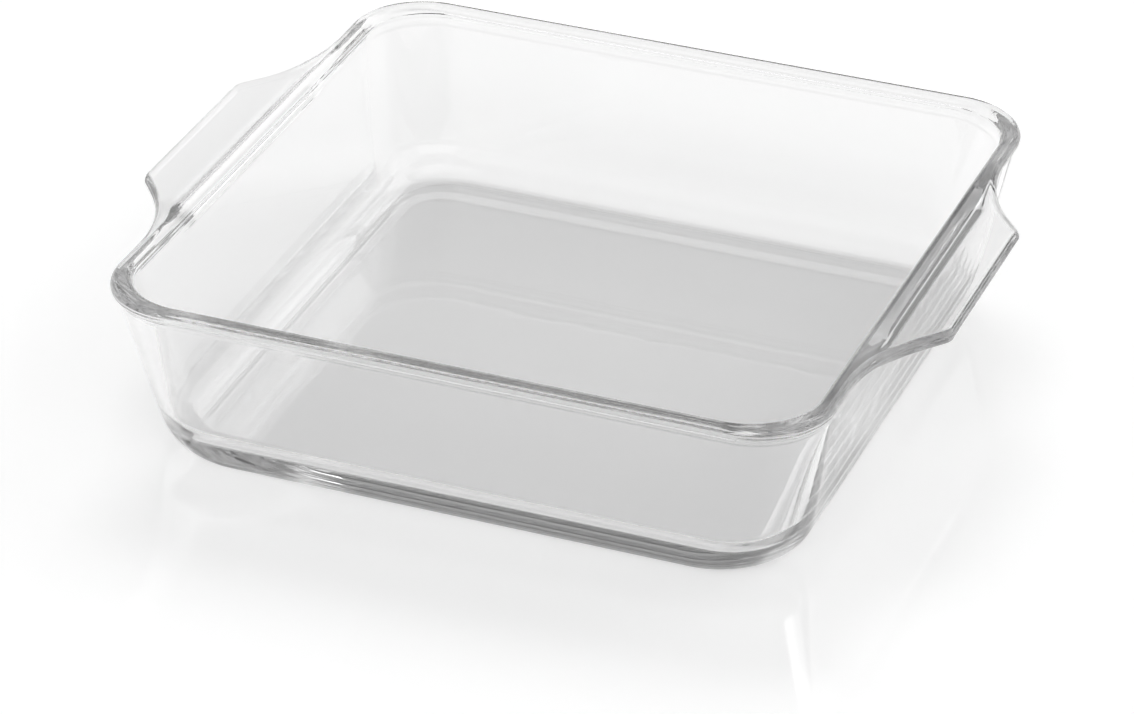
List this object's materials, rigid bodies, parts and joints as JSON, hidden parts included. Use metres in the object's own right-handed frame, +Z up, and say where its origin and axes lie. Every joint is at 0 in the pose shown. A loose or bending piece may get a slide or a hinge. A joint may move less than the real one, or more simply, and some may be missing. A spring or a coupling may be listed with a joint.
{
  "type": "baking dish",
  "caption": "Square clear-glass baking dish with leaning walls, rounded corners, a beaded rim and a flat tab handle on either side.",
  "frame": {"origin": "middle of the flat resting face, on the surface the dish stands on", "axes": "+Z up, out of the open mouth; +X along the line through the two tab handles; +Y across it"},
  "size_m": [0.25, 0.216, 0.0575],
  "materials": {
    "glass": "clear, fire-polished pressed glass"
  },
  "bodies": {
    "root": {"dish": "glass"}
  },
  "joints": []
}
